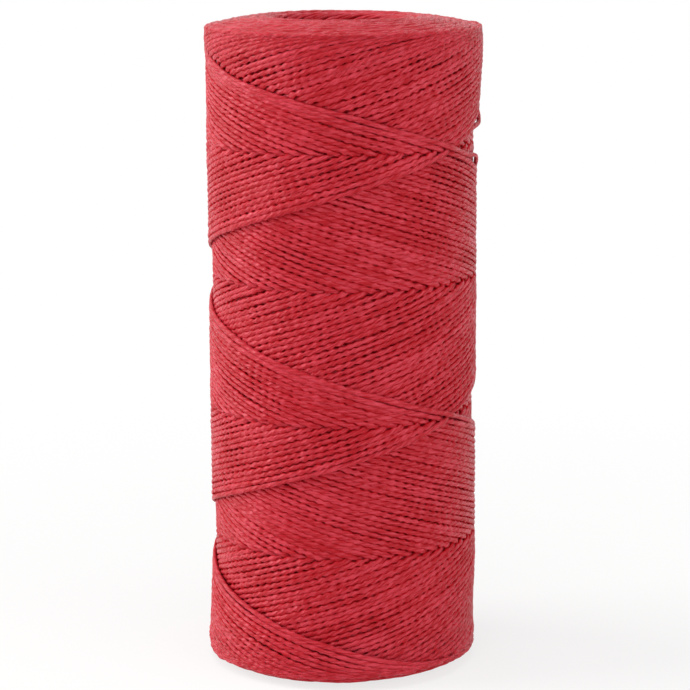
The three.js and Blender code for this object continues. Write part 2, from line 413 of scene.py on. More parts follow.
@dataclass
class StringSection:
    """The string's cross-section: two soft plies, flattened against the winding."""

    width: float = 1.1
    thickness: float = 0.86
    lobe: float = 0.06  # how far the plies stand out, as a share of the radius
    waist: float = 0.23  # how much the string narrows and widens
    slant: float = 0.5  # how much slower than that its plies turn
    twist_pitch: float = 3.5
    # Where the section's corners are, in turns from its side: close together on the outside, which shows
    corners: tuple[float, ...] = (-0.25, -0.06, 0.045, 0.15, 0.25, 0.35, 0.455, 0.56)

    def rings(
        self,
        centre: np.ndarray,
        side: np.ndarray,
        out: np.ndarray,
        twist: np.ndarray,
        scale: np.ndarray,
        lobes: np.ndarray,
    ) -> np.ndarray:
        """The points of the section at each place along the string.

        Args:
            centre: points on the centre line.
            side: unit vectors across the string, along the surface.
            out: unit vectors out from the surface.
            twist: turns of twist up to each point.
            scale: how wide the string is there, as a share of its width.
            lobes: how much its plies show there, as a share of what they do on average.

        Returns:
            Points, by place, corner and coordinate.
        """
        angle = FULL_TURN * np.array(self.corners)[None, :]
        turned = FULL_TURN * twist[:, None]
        bulge = 1 + self.lobe * lobes[:, None] * np.cos(2 * (angle - self.slant * turned))
        waist = scale[:, None] * (1 + self.waist * lobes[:, None] * np.cos(2 * turned))
        across = (0.5 * self.width * waist * bulge * np.cos(angle))[..., None]
        above = (0.5 * self.thickness * bulge * np.sin(angle))[..., None]
        return centre[:, None, :] + across * side[:, None, :] + above * out[:, None, :]


@dataclass
class StringRun:
    """A length of string, ring by ring, with what its finish reads."""

    rings: np.ndarray  # points in millimetres, by ring, corner and coordinate
    twist: np.ndarray  # in turns
    tone: np.ndarray  # how light it is
    waxed_unshaded_sides: np.ndarray  # 1 where its sides lie open and get no painted shade, and are as waxed as its top

    def part(self, first: int, last: int) -> "StringRun":
        """The stretch from one ring to another, both of them in it."""
        kept = slice(first, last + 1)
        return StringRun(self.rings[kept], self.twist[kept], self.tone[kept], self.waxed_unshaded_sides[kept])


def string_mesh(
    name: str, runs: list[StringRun], section: StringSection, material: bpy.types.Material
) -> bpy.types.Object:
    """Joins rings of points into closed tubes, one for each run, in one mesh.

    Args:
        name: the piece's name.
        runs: the lengths of string.
        section: their cross-section.
        material: their finish.

    Returns:
        The piece, with a UV map of twist along it and share round it, and two attributes.
    """
    sides = len(section.corners)
    corner = np.arange(sides)
    shares = np.array([*section.corners, section.corners[0] + 1])
    quads, along, around, caps = [], [], [], []
    start = 0
    for run in runs:
        count = len(run.rings)
        row = start + sides * np.arange(count - 1)[:, None]
        here, after = row + corner, row + (corner + 1) % sides
        quads.append(np.stack([here, here + sides, after + sides, after], axis=-1).reshape(-1, 4))
        ends = (run.twist[:-1, None], run.twist[1:, None], shares[None, :-1], shares[None, 1:])
        low, high, left, right = np.broadcast_arrays(*ends)
        along.append(np.stack([low, high, high, low], axis=-1).reshape(-1, 4))
        around.append(np.stack([left, left, right, right], axis=-1).reshape(-1, 4))
        caps += [start + corner, start + (count - 1) * sides + corner[::-1]]
        start += count * sides
    vertices = np.concatenate([run.rings.reshape(-1, 3) for run in runs]) * MM
    faces = np.concatenate(quads)
    loops = np.concatenate([faces.ravel(), *caps])
    starts = np.concatenate([4 * np.arange(len(faces)), faces.size + sides * np.arange(len(caps))])
    mesh = bpy.data.meshes.new(name)
    mesh.vertices.add(len(vertices))
    mesh.vertices.foreach_set("co", vertices.astype(np.float32).ravel())
    mesh.loops.add(len(loops))
    mesh.loops.foreach_set("vertex_index", loops.astype(np.int32))
    mesh.polygons.add(len(starts))
    mesh.polygons.foreach_set("loop_start", starts.astype(np.int32))
    mesh.update(calc_edges=True)
    uv = np.zeros((len(loops), 2), np.float32)
    uv[: faces.size, 0] = np.concatenate(along).ravel()
    uv[: faces.size, 1] = np.concatenate(around).ravel()
    mesh.uv_layers.new(name="string").data.foreach_set("uv", uv.ravel())
    for title, marks in (("tone", [run.tone for run in runs]), ("waxed_unshaded_sides", [run.waxed_unshaded_sides for run in runs])):
        values = np.repeat(np.concatenate(marks), sides)
        mesh.attributes.new(title, "FLOAT", "POINT").data.foreach_set("value", values.astype(np.float32))
    mesh.polygons.foreach_set("use_smooth", np.ones(len(mesh.polygons), bool))
    mesh.validate()
    mesh.materials.append(material)
    piece = bpy.data.objects.new(name, mesh)
    bpy.context.scene.collection.objects.link(piece)
    return piece


def on_reel(turns: np.ndarray, radius: np.ndarray | float, height: np.ndarray) -> np.ndarray:
    """Points at places round the reel.

    Args:
        turns: places round it.
        radius: distances from its axis.
        height: heights above the bottom rim.

    Returns:
        The points.
    """
    angle = FULL_TURN * turns - 0.5 * math.pi
    return np.stack([radius * np.cos(angle), radius * np.sin(angle), height], axis=-1)


def lie_of_string(points: np.ndarray, out: np.ndarray) -> tuple[np.ndarray, np.ndarray, np.ndarray]:
    """How the string lies along its route.

    Args:
        points: the route.
        out: directions that its flat side faces, though not quite square to the route.

    Returns:
        Unit vectors across the string and out from it, and the length of each step.
    """
    along = np.gradient(points, axis=0)
    length = np.linalg.norm(along, axis=1)
    along /= length[:, None]
    side = np.cross(out, along)
    side /= np.linalg.norm(side, axis=1)[:, None]
    return side, np.cross(along, side), length


def between_knots(
    travelled: np.ndarray, spacing: float, draw: Callable[[int], np.ndarray], spare: float = 40.0
) -> np.ndarray:
    """Draws values at even knots along the string, and goes evenly from one to the next.

    Args:
        travelled: length along the string.
        spacing: the distance between knots.
        draw: gives as many values as it is asked for.
        spare: how far the knots go on past the string's end.

    Returns:
        The value at each point of the string.
    """
    knots = np.arange(0, travelled[-1] + spare, spacing)
    return np.interp(travelled, knots, draw(len(knots)))


def pull_taut(support: np.ndarray, travelled: np.ndarray, curvature: float) -> np.ndarray:
    """Pulls a string tight over its support, so that it bridges what lies lower.

    Args:
        support: the radius that each point can't go below.
        travelled: length along the string.
        curvature: how fast a straight string leaves the round surface.

    Returns:
        The radius of the taut string.
    """
    lift = 0.5 * curvature * travelled**2
    level = support - lift
    x, y = travelled.tolist(), level.tolist()
    kept: list[int] = []
    for i in range(len(x)):
        while len(kept) > 1:
            a, b = kept[-2], kept[-1]
            if (y[b] - y[a]) * (x[i] - x[a]) > (y[i] - y[a]) * (x[b] - x[a]):
                break
            kept.pop()
        kept.append(i)
    return np.interp(travelled, travelled[kept], level[kept]) + lift


@dataclass(frozen=True)
class Reversal:
    """A place near a rim where the string turns from one way to the other."""

    peak: float  # its height
    reach: float  # the part of a turn from the peak to the straight stroke


@dataclass
class Stroke:
    """One crossing of the reel, from peak to peak."""

    way: Way
    turns: np.ndarray
    height: np.ndarray
    centre: np.ndarray  # the radius of the string's centre line
    width: np.ndarray  # as a share of the string's full width
    tone: float

    def samples(self) -> np.ndarray:
        """Its turns, heights, radii and widths, but for the last of each, which the next stroke has too."""
        return np.stack([self.turns, self.height, self.centre, self.width])[:, :-1]

    def lanes(
        self, section: StringSection, radius: float, count: int, share: float
    ) -> Iterator[tuple[np.ndarray, np.ndarray, float]]:
        """Lines along the stroke, side by side across the string.

        Args:
            section: the string's cross-section.
            radius: the reel's mean radius.
            count: how many lines.
            share: how much of the string's width they take.

        Yields:
            Each line's turns and heights, and how thick the string is there, from its middle out.
        """
        run = np.gradient(self.turns) * FULL_TURN * radius
        climb = np.gradient(self.height)
        length = np.hypot(run, climb)
        turn_across, height_across = -climb / length / (FULL_TURN * radius), run / length
        half_width, half_thick = 0.5 * section.width, 0.5 * section.thickness
        for offset in np.linspace(-1, 1, count) * half_width * share:
            thick = half_thick * math.sqrt(1 - (offset / half_width) ** 2)
            yield self.turns + offset * turn_across, self.height + offset * height_across, thick


@dataclass
class UnrolledGrid:
    """A radius for each place on the winding's surface, unrolled round the reel."""

    shape: PackageShape
    start: float  # the radius that all places have at first
    turn_cells: int = 736
    cell: float = 0.22
    margin: float = 1.1  # how far it goes past each rim

    def __post_init__(self) -> None:
        """Makes the grid with one radius all over."""
        rows = round((self.shape.height + 2 * self.margin) / self.cell)
        self.radius = np.full((self.turn_cells, rows), self.start)

    def cells(self, turns: np.ndarray, height: np.ndarray) -> tuple[np.ndarray, np.ndarray]:
        """The grid cells at places on the surface.

        Args:
            turns: places round the reel.
            height: heights above the bottom rim.

        Returns:
            The cells' two indices.
        """
        across = np.rint(turns * self.turn_cells).astype(int) % self.turn_cells
        up = np.rint((height + self.margin) / self.cell).astype(int)
        return across, np.clip(up, 0, self.radius.shape[1] - 1)


@dataclass(frozen=True)
class LooseSpot:
    """A place where a strand stands off the reel, so that white shows between the two."""

    stroke: int  # counted from the last
    height: float
    stray: float  # how far it has strayed up or down
    reach: float = 0.015  # in turns
    lift: float = 0.45
    thinning: float = 0.35  # how much narrower it is where nothing presses it flat

    def loosen(self, strokes: list[Stroke]) -> None:
        """Lifts the strand there.

        Args:
            strokes: the strokes, oldest first.
        """
        stroke = strokes[self.stroke]
        middle = stroke.turns[np.argmin(np.abs(stroke.height - self.height))]
        loose = np.exp(-0.5 * ((stroke.turns - middle) / self.reach) ** 2)
        stroke.height += self.stray * loose
        stroke.centre += self.lift * loose
        stroke.width *= 1 - self.thinning * loose


@dataclass
class OuterLayer:
    """The string's outer layer: one unbroken length, wound in time order and pulled taut over itself."""

    shape: PackageShape
    plan: WindingPlan
    section: StringSection
    pieces: int = 10
    samples_per_turn: int = 1226
    # How it is laid
    sheet: float = 0.76  # what each sheet of strands adds to the radius
    lay_scatter: float = 0.04
    shingle: float = 0.5  # how far out the string lies before a reversal, and in after it
    shingle_end: float = 3.5  # where it is back in its place, in reaches of the reversal
    newest_shingle: float = 0.3  # the part of it that the last strand has
    shingle_strands: int = 6  # the strands over which that grows to the whole
    peak_width: float = 0.2  # its share of its width at a peak, if it could be squeezed so far
    squeeze: float = 0.7  # the least share of its width to which the string is squeezed
    settling: float = 0.5  # how far the last reversals settle inwards
    settling_reach: float = 0.045  # in turns
    settling_strands: int = 3
    ending: float = 0.2  # how much of a turn of the next stroke the string's end takes
    tuck: int = 80  # samples at each end of the length that dive into the winding
    tuck_depths: tuple[float, float] = (1.5, 1.7)
    join_samples: int = 50  # at each end of a stroke, where it is brought to its neighbour
    loose_spots: tuple[LooseSpot, ...] = (LooseSpot(-3, 107.0, -0.95), LooseSpot(-2, 98.8, 0.95))
    # How it is pressed
    bedding: float = 0.1  # how far one strand beds into another where they cross
    press_limit: float = 1.3
    press_lanes: int = 9
    pressed_share: float = 0.7  # how much of a strand's width feels those over it
    pressing_share: float = 0.98  # and how much presses on those under it
    press_window: int = 11  # samples over which it bends
    # Where it shows
    seen_lanes: int = 11
    seen_share: float = 0.96
    seen_depth: float = 0.08  # how far under the skin a strand is still taken to show
    seen_window: int = 9
    shown_step: int = 2  # samples between rings where the string shows
    hidden_step: int = 10  # and where other strands cover it
    rim_tilt: tuple[float, float] = (7.0, 2.0)  # from a rim: where its flat side begins to turn, and has
    open_side: tuple[float, float] = (54.0, 58.0)  # from the middle: where its sides begin to open, and have
    newest_strokes: float = 3.2  # how many strokes have nothing over them
    # How its look varies
    tone_memory: float = 0.6  # how much of its tone a stroke has from the one before
    tone_scatter: float = 0.08
    ply_show: dict[Way, float] = field(default_factory=lambda: {Way.RISING: 1.05, Way.FALLING: 0.9})
    ply_range: tuple[float, float] = (0.4, 1.6)
    newest_ply_show: float = 0.5
    width_knots: float = 1.9  # the distance over which its width and plies vary
    width_scatter: float = 0.08
    twist_knots: float = 5.0  # and its twist
    twist_scatter: float = 0.15
    loosening: float = 0.045  # how much the width varies from place to place
    # The waves that it varies in: how many round the reel and in a pitch, and their shift in turns
    loosening_waves: tuple[tuple[int, float, float], ...] = (
        (2, 1.7, 0.4),
        (3, -2.6, 0.1),
        (5, 3.3, 0.65),
        (7, -1.1, 0.9),
    )

    def build(self, material: bpy.types.Material) -> list[bpy.types.Object]:
        """Winds the layer and makes its pieces.

        Args:
            material: the string's finish.

        Returns:
            The pieces, in the order in which they were wound.
        """
        strokes = self.wind()
        self.press(strokes)
        self.join(strokes)
        run = self.tube(strokes)
        log.info("outer layer: %d strokes, %d rings", len(strokes), len(run.rings))
        cuts = np.linspace(0, len(run.rings) - 1, self.pieces + 1).astype(int)
        return [
            string_mesh(f"outer_turns_{number:02d}", [run.part(first, last)], self.section, material)
            for number, (first, last) in enumerate(zip(cuts[:-1], cuts[1:]), 1)
        ]

    def wind(self) -> list[Stroke]:
        """Winds every stroke in time order, each pulled taut over the surface of its moment.

        Returns:
            The strokes, oldest first.
        """
        rng = np.random.default_rng(SEED)
        plan = self.plan
        strokes: list[Stroke] = []
        tone = 0.0
        lower = self.reversal(End.LOWER, 1.0, rng)
        for older in reversed(range(plan.strands)):
            age = older / plan.strands
            top = plan.upper_corner - plan.newest_rising - older * plan.cycle
            bottom = top + plan.stroke_turns
            upper = self.reversal(End.UPPER, age, rng)
            for way in Way:
                start = top - plan.stroke_turns if way is Way.RISING else top
                if way is Way.FALLING:
                    lower = self.reversal(End.LOWER, age, rng, plan.lean * math.sin(FULL_TURN * bottom))
                tone = self.tone_memory * tone + rng.normal(0, self.tone_scatter)
                stroke = self.stroke(way, start, age, lower, upper, tone, rng)
                if way is Way.FALLING and older < plan.slip_strands:
                    place = (stroke.turns - start - plan.slip_place) / plan.slip_reach
                    stroke.height -= plan.slip * (1 - older / plan.slip_strands) * np.exp(-0.5 * place**2)
                strokes.append(stroke)
        # The next stroke begins, and the string's end is tucked into the winding
        following = self.stroke(Way.RISING, bottom, -plan.step, lower, upper, tone, rng)
        kept = slice(0, round(self.ending * self.samples_per_turn))
        parts = (following.turns, following.height, following.centre, following.width)
        strokes.append(Stroke(Way.RISING, *(part[kept] for part in parts), tone))
        first_depth, last_depth = self.tuck_depths
        strokes[0].centre[: self.tuck] -= np.linspace(first_depth, 0, self.tuck)
        strokes[-1].centre[-self.tuck :] -= np.linspace(0, last_depth, self.tuck)
        for spot in self.loose_spots:
            spot.loosen(strokes)
        self.join(strokes)
        return strokes

    def join(self, strokes: list[Stroke]) -> None:
        """Brings the end of each stroke and the start of the next together.

        Args:
            strokes: the strokes, oldest first.
        """
        count = self.join_samples
        ease = np.linspace(1, 0, count) ** 2
        for before, after in zip(strokes[:-1], strokes[1:]):
            step = 0.5 * (after.centre[0] - before.centre[-1])
            before.centre[-count:] += step * ease[::-1]
            after.centre[:count] -= step * ease

    def reversal(self, end: End, age: float, rng: np.random.Generator, lift: float = 0.0) -> Reversal:
        """Where one reversal peaks and over how much of a turn it is rounded.

        Args:
            end: which end of the reel.
            age: 1 for the oldest of the layer to 0 for the newest.
            rng: the source of its scatter.
            lift: how much higher it lies than others.

        Returns:
            The reversal.
        """
        plan = self.plan
        stray = rng.normal(0, plan.peak_wander) + plan.peak_fall * (age - 0.5)
        if end is End.UPPER:
            peak = plan.upper_peak + stray
            return Reversal(peak, 2 * (plan.upper_corner * plan.pitch - peak) / plan.pitch)
        peak = plan.lower_peak + lift - stray
        return Reversal(peak, 2 * (peak - plan.lower_corner * plan.pitch) / plan.pitch)

    def stroke(
        self,
        way: Way,
        start: float,
        age: float,
        lower: Reversal,
        upper: Reversal,
        tone: float,
        rng: np.random.Generator,
    ) -> Stroke:
        """Winds one stroke from peak to peak.

        Args:
            way: up or down.
            start: the place round the reel of its first peak.
            age: 1 for the oldest of the layer to 0 for the newest.
            lower: the lower reversal.
            upper: the upper one.
            tone: how light the strand is.
            rng: the source of its wander.

        Returns:
            The stroke.
        """
        plan, shape = self.plan, self.shape
        stop = start + plan.stroke_turns
        count = round((stop - start) * self.samples_per_turn) + 1
        turns = np.linspace(start, stop, count)
        from_lower = turns - start if way is Way.RISING else stop - turns
        from_upper = stop - turns if way is Way.RISING else turns - start
        from_peak = np.minimum(from_lower, from_upper)
        sharp = plan.lower_corner + from_lower
        height = sharp * plan.pitch
        # The strands crowd together towards a reversal, which squeezes them narrower
        width = np.ones(count)
        for turn, distance, sense in ((lower, from_lower, 1), (upper, from_upper, -1)):
            rounded = turn.peak + sense * plan.pitch * distance**2 / (2 * turn.reach)
            height = np.where(distance < turn.reach, rounded, height)
            width = np.minimum(width, np.maximum(self.peak_width + distance / turn.reach, self.squeeze))
        # The surface that it is laid on: a sheet higher where the other way's newest strands lie
        if way is Way.RISING:
            other_age = (plan.newest_falling - age - plan.step - sharp - turns) % 1.0
        else:
            other_age = (sharp - turns - plan.newest_rising - age) % 1.0
        top = shape.side_radius(height) + self.sheet * (1 - other_age - 2 * age)
        # Before a reversal it lies over the last ones, the newest hardly so, and after it under the next
        over = min(1.0, self.newest_shingle + age * plan.strands / self.shingle_strands)
        for turn, distance, leaves in (
            (lower, from_lower, way is Way.RISING),
            (upper, from_upper, way is Way.FALLING),
        ):
            share = distance / turn.reach
            fading = np.clip((self.shingle_end - share) / (self.shingle_end - 1), 0, 1)
            top += (-1 if leaves else over) * self.shingle * np.where(share < 1, share, fading)
        travelled = (turns - start) * math.hypot(FULL_TURN * shape.radius, plan.pitch)
        flat = (FULL_TURN * shape.radius) ** 2
        curvature = flat / (flat + plan.pitch**2) / shape.radius
        centre = pull_taut(top - 0.5 * self.section.thickness, travelled, curvature)
        centre += rng.normal(0, self.lay_scatter)
        # The last reversals have no others beyond them to lie on, and settle
        last = np.clip(1 - age * plan.strands / self.settling_strands, 0, 1)
        centre -= self.settling * last * np.exp(-0.5 * (from_peak / self.settling_reach) ** 2)
        stray = np.zeros(count)
        for shortest, longest, size in plan.stray_waves:
            wave = rng.uniform(shortest, longest)
            stray += rng.normal(0, size) * np.sin(FULL_TURN * (travelled / wave + rng.uniform()))
        share = np.clip(from_peak / plan.calm, 0, 1)
        calmed = share * share * (3 - 2 * share)
        return Stroke(way, turns, height + plan.wander * stray * calmed, centre, width, tone)

    def press(self, strokes: list[Stroke]) -> None:
        """Presses each strand under the ones of the other way that were wound over it, newest first.

        Args:
            strokes: the strokes, oldest first, whose centre lines are lowered.
        """
        ceilings = {way: UnrolledGrid(self.shape, math.inf) for way in Way}
        lanes = (self.section, self.shape.radius, self.press_lanes)
        bend = np.ones(self.press_window) / self.press_window
        for stroke in reversed(strokes):
            above = ceilings[Way.FALLING if stroke.way is Way.RISING else Way.RISING]
            room = np.full(len(stroke.turns), math.inf)
            for turns, height, thick in stroke.lanes(*lanes, self.pressed_share):
                room = np.minimum(room, above.radius[above.cells(turns, height)] - thick)
            lowest = stroke.centre - self.press_limit
            pressed = np.clip(np.minimum(stroke.centre, room + self.bedding), lowest, None)
            stroke.centre[:] = np.convolve(np.pad(pressed, self.press_window // 2, "edge"), bend, "valid")
            own = ceilings[stroke.way]
            for turns, height, thick in stroke.lanes(*lanes, self.pressing_share):
                np.minimum.at(own.radius, own.cells(turns, height), stroke.centre - thick)

    def shows(self, strokes: list[Stroke]) -> np.ndarray:
        """Finds where the string can be seen.

        Args:
            strokes: the strokes, pressed.

        Returns:
            True at each sample of the whole length where it shows.
        """
        skin = UnrolledGrid(self.shape, 0.0)
        lanes = (self.section, self.shape.radius, self.seen_lanes, self.seen_share)
        for stroke in strokes:
            for turns, height, thick in stroke.lanes(*lanes):
                np.maximum.at(skin.radius, skin.cells(turns, height), stroke.centre + thick)
        seen = []
        for stroke in strokes:
            visible = np.zeros(len(stroke.turns), bool)
            for turns, height, thick in stroke.lanes(*lanes):
                top = stroke.centre + thick
                visible |= skin.radius[skin.cells(turns, height)] <= top + self.seen_depth
            seen.append(visible[:-1])
        return np.concatenate(seen)

    def tube(self, strokes: list[Stroke]) -> StringRun:
        """Makes the string's rings along the whole route, close together where it shows.

        Args:
            strokes: the strokes, pressed.

        Returns:
            The whole length of string.
        """
        shown = self.shows(strokes)
        turns, height, centre, width = np.concatenate([stroke.samples() for stroke in strokes], axis=1)
        counts = [len(stroke.turns) - 1 for stroke in strokes]
        number = np.arange(len(turns))
        spread = np.convolve(shown.astype(float), np.ones(self.seen_window), "same") > 0
        wanted = number % np.where(spread, self.shown_step, self.hidden_step) == 0
        wanted[[0, -1]] = True
        points = on_reel(turns, centre, height)
        # At the rims the string's flat side turns towards the end face
        begins, ends = self.rim_tilt
        upwards = np.clip((height - self.shape.height + begins) / (begins - ends), 0, 1)
        downwards = np.clip((begins - height) / (begins - ends), 0, 1)
        side, proud, length = lie_of_string(points, on_reel(turns, 1.0, upwards - downwards))
        travelled = np.cumsum(length)
        log.info("outer layer: %.1f m of string, %.0f%% of it shows", travelled[-1] * MM, 100 * shown.mean())
        rng = np.random.default_rng(SEED + 1)
        loose_twist = between_knots(
            travelled, self.twist_knots, lambda count: np.cumsum(rng.normal(0, self.twist_scatter, count))
        )
        twist = -(travelled / self.section.twist_pitch + loose_twist)
        wider = between_knots(
            travelled, self.width_knots, lambda count: rng.normal(0, self.width_scatter, count)
        )
        scale = width * (1 + wider)
        # In places the strands lie loose and spread, so that they close up
        loosened = np.zeros(len(turns))
        for round_waves, up_waves, shift in self.loosening_waves:
            phase = round_waves * turns + up_waves * height / self.plan.pitch + shift
            loosened += np.sin(FULL_TURN * phase)
        scale *= 1 + self.loosening * loosened
        # Falling strands were pressed flatter, which hides their plies a little
        lobes = np.repeat([self.ply_show[stroke.way] for stroke in strokes], counts)
        lobes *= between_knots(travelled, self.width_knots, lambda count: rng.uniform(*self.ply_range, count))
        newest = number >= len(number) - self.newest_strokes * len(strokes[0].turns)
        lobes[newest] *= self.newest_ply_show
        # The sides lie open on the newest strands and at the rims, and there get no painted shade
        begins, ends = self.open_side
        waxed_unshaded_sides = np.clip((np.abs(height - 0.5 * self.shape.height) - begins) / (ends - begins), 0, 1)
        waxed_unshaded_sides[newest] = 1
        kept = (values[wanted] for values in (points, side, proud, twist, scale, lobes))
        tone = np.repeat([stroke.tone for stroke in strokes], counts)
        return StringRun(self.section.rings(*kept), twist[wanted], tone[wanted], waxed_unshaded_sides[wanted])


@dataclass
class EndTurns:
    """The reversals of the inner layers, which make an end face: rings of overlapping arcs of string."""

    shape: PackageShape
    plan: WindingPlan
    section: StringSection
    first_ring: float = 13.5
    last_ring: float = 25.3
    rings: int = 8
    reach: float = 7.5  # half the length of an arc
    reach_limit: float = 0.62  # the most of it, as a share of the ring's radius
    steps: int = 38
    tilt: float = 0.13  # how fast an arc runs inwards under the next one
    fall: float = 0.0107  # how fast it dives from its peak, for each square millimetre
    fall_radius: float = 26.0  # for a ring of this radius: smaller ones dive faster
    dive: float = 0.9  # how much deeper its ends go
    dive_power: int = 6
    place_scatter: float = 0.35
    radius_scatter: float = 0.12
    depth_scatter: float = 0.1
    tone_scatter: float = 0.1
    rim_height: float = 1.0  # how far from the end the rim is measured
    inside_rim: float = 0.9  # how far inside the rim an arc's middle line stays
    twist_range: float = 5.0  # the turns of twist that an arc may start with
    waxed_unshaded_sides: float = 0.7  # how far its sides are spared the painted shade, and waxed as its top is
    lean_radii: tuple[float, float] = (15.0, 25.0)  # where the lower face begins to lean, and leans in full
    shoulder: float = 0.15  # how much lower the upper face lies on its far right
    shoulder_radii: tuple[float, float] = (19.5, 27.0)  # where that begins to fade, and has gone
    shoulder_start: float = 0.08  # where it begins, in turns

    def build(self, end: End, material: bpy.types.Material) -> bpy.types.Object:
        """Makes one end's arcs.

        Args:
            end: which end of the reel.
            material: the string's finish.

        Returns:
            The piece.
        """
        rng = np.random.default_rng(SEED + 2 + (end is End.UPPER))
        runs = []
        for radius in np.linspace(self.first_ring, self.last_ring, self.rings):
            offset = rng.uniform()
            for number in range(self.plan.strands):
                runs.append(self.arc(end, radius, (number + offset) / self.plan.strands, rng))
        return string_mesh(f"{end.value}_end_turns", runs, self.section, material)

    def arc(self, end: End, radius: float, place: float, rng: np.random.Generator) -> StringRun:
        """One arc of string round its peak.

        Args:
            end: which end of the reel.
            radius: the ring's radius.
            place: where the peak is, in turns.
            rng: the source of its scatter.

        Returns:
            The arc's length of string.
        """
        shape, upper = self.shape, end is End.UPPER
        reach = min(self.reach, self.reach_limit * radius)
        distance = np.linspace(-reach, reach, self.steps + 1) + rng.normal(0, self.place_scatter)
        turns = place + distance / (FULL_TURN * radius)
        rim_height = shape.height - self.rim_height if upper else self.rim_height
        widest = float(shape.side_radius(np.array(rim_height))) - self.inside_rim
        radii = np.minimum(radius + rng.normal(0, self.radius_scatter) - self.tilt * distance, widest)
        top = shape.height - shape.end_drop(end, radii) - 0.5 * self.section.thickness
        depth = self.fall * (self.fall_radius / radius) ** 0.5 * distance**2
        depth += abs(rng.normal(0, self.depth_scatter))
        depth += self.dive * (distance / reach) ** self.dive_power
        if upper:
            begins, ends = self.shoulder_radii
            inwards = np.clip((ends - radius) / (ends - begins), 0, 1)
            aside = np.clip(np.sin(FULL_TURN * (turns - self.shoulder_start)), 0, 1)
            depth += self.shoulder * aside * inwards
        else:
            begins, ends = self.lean_radii
            outwards = max(0, radius - begins) / (ends - begins)
            depth += self.plan.lean * np.clip(np.sin(FULL_TURN * turns), 0, 1) * outwards
        height = top - depth
        points = on_reel(turns, radii, height if upper else shape.height - height)
        side, proud, length = lie_of_string(points, np.array([0.0, 0.0, 1.0 if upper else -1.0]))
        twist = -(np.cumsum(length) / self.section.twist_pitch + rng.uniform(0, self.twist_range))
        full = np.ones(len(twist))
        rings = self.section.rings(points, side, proud, twist, full, full)
        return StringRun(rings, twist, rng.normal(0, self.tone_scatter) * full, self.waxed_unshaded_sides * full)


@dataclass
class UnderTurns:
    """The string's layers under the outer one, which show only through its gaps: a stepped, hollow body."""

    shape: PackageShape
    plan: WindingPlan
    sheet: float  # what each sheet of strands adds to the radius
    facets: int = 192
    inset: float = 0.1  # how far its side keeps under the outer layer
    end_inset: float = 1.0  # and its end faces under the end turns
    hollow_rings: tuple[float, ...] = (0.0, 0.5, 1.2, 2.0)  # how far out from the hollow
    face_rings: tuple[float, ...] = (17.0, 19.0, 21.0, 23.0)  # radii on both end faces
    lower_rings: tuple[float, ...] = (2.6, 4.0, 7.0)  # heights on the side, close together at its ends
    upper_rings: tuple[float, ...] = (119.0, 122.0, 123.4)
    side_span: tuple[float, float] = (11.0, 115.0)  # and even between them
    side_rings: int = 53
    side_start: float = 23.2  # the side is all that lies outside this radius
    merging: float = 0.01  # the distance over which the outline's two ends are merged

    def build(self, material: bpy.types.Material) -> bpy.types.Object:
        """Extrudes the body's outline round by round from a circle, and steps its side.

        Args:
            material: the string's finish.

        Returns:
            The piece.
        """
        outline = self.outline()
        radius, height = outline[0]
        bpy.ops.object.select_all(action="DESELECT")
        bpy.ops.mesh.primitive_circle_add(
            vertices=self.facets, radius=radius * MM, location=(0, 0, height * MM)
        )
        body = bpy.context.object
        body.name = body.data.name = "under_turns"
        bpy.ops.object.transform_apply(location=True, rotation=True, scale=True)
        bpy.ops.object.mode_set(mode="EDIT")
        bpy.ops.mesh.select_all(action="SELECT")
        for following in outline[1:]:
            rise = (0, 0, (following[1] - height) * MM)
            bpy.ops.mesh.extrude_edges_move(TRANSFORM_OT_translate={"value": rise})
            share = following[0] / radius
            bpy.ops.transform.resize(value=(share, share, 1), center_override=(0, 0, 0))
            radius, height = following
        bpy.ops.mesh.select_all(action="SELECT")
        bpy.ops.mesh.remove_doubles(threshold=self.merging * MM)
        bpy.ops.mesh.normals_make_consistent(inside=False)
        bpy.ops.object.mode_set(mode="OBJECT")
        self.step_side(body)
        bpy.ops.object.shade_smooth()
        body.data.materials.append(material)
        return body

    def outline(self) -> list[tuple[float, float]]:
        """The body's closed outline in radius and height, from the hollow's lower end, up its side and back.

        Returns:
            The outline's points; the last one is the first again.
        """
        shape = self.shape
        ends = np.concatenate([shape.hollow_radius + np.array(self.hollow_rings), self.face_rings])
        low, high = (shape.end_drop(end, ends) + self.end_inset for end in End)
        even_rings = np.linspace(*self.side_span, self.side_rings)
        heights = np.concatenate([self.lower_rings, even_rings, self.upper_rings])
        # As far in as the side lies anywhere: step_side moves the rest of it out
        side = shape.side_radius(heights) - 3 * self.sheet - self.inset
        points = [*zip(ends, low), *zip(side, heights), *zip(ends[::-1], shape.height - high[::-1])]
        return [(float(radius), float(height)) for radius, height in [*points, points[0]]]

    def step_side(self, body: bpy.types.Object) -> None:
        """Moves the side out to the surface that the outer layer was laid on.

        Args:
            body: the piece.
        """
        for vertex in body.data.vertices:
            x, y, z = (c / MM for c in vertex.co)
            radius = math.hypot(x, y)
            if radius < self.side_start:
                continue
            turns = np.array([(math.atan2(y, x) + 0.5 * math.pi) / FULL_TURN])
            finished = float(self.finished_radius(turns, np.array([z]))[0])
            share = max(1.0, (finished - 2 * self.sheet - self.inset) / radius)
            vertex.co.x *= share
            vertex.co.y *= share

    def finished_radius(self, turns: np.ndarray, height: np.ndarray) -> np.ndarray:
        """The radius of the finished winding, which steps out by a sheet along each newest strand.

        Args:
            turns: places round the reel.
            height: heights above the bottom rim.

        Returns:
            The radius.
        """
        sharp = self.plan.sharp_height(height)
        rising_age = (sharp - turns - self.plan.newest_rising) % 1.0
        falling_age = (self.plan.newest_falling - sharp - turns) % 1.0
        return self.shape.side_radius(height) + self.sheet * (1 - rising_age - falling_age)


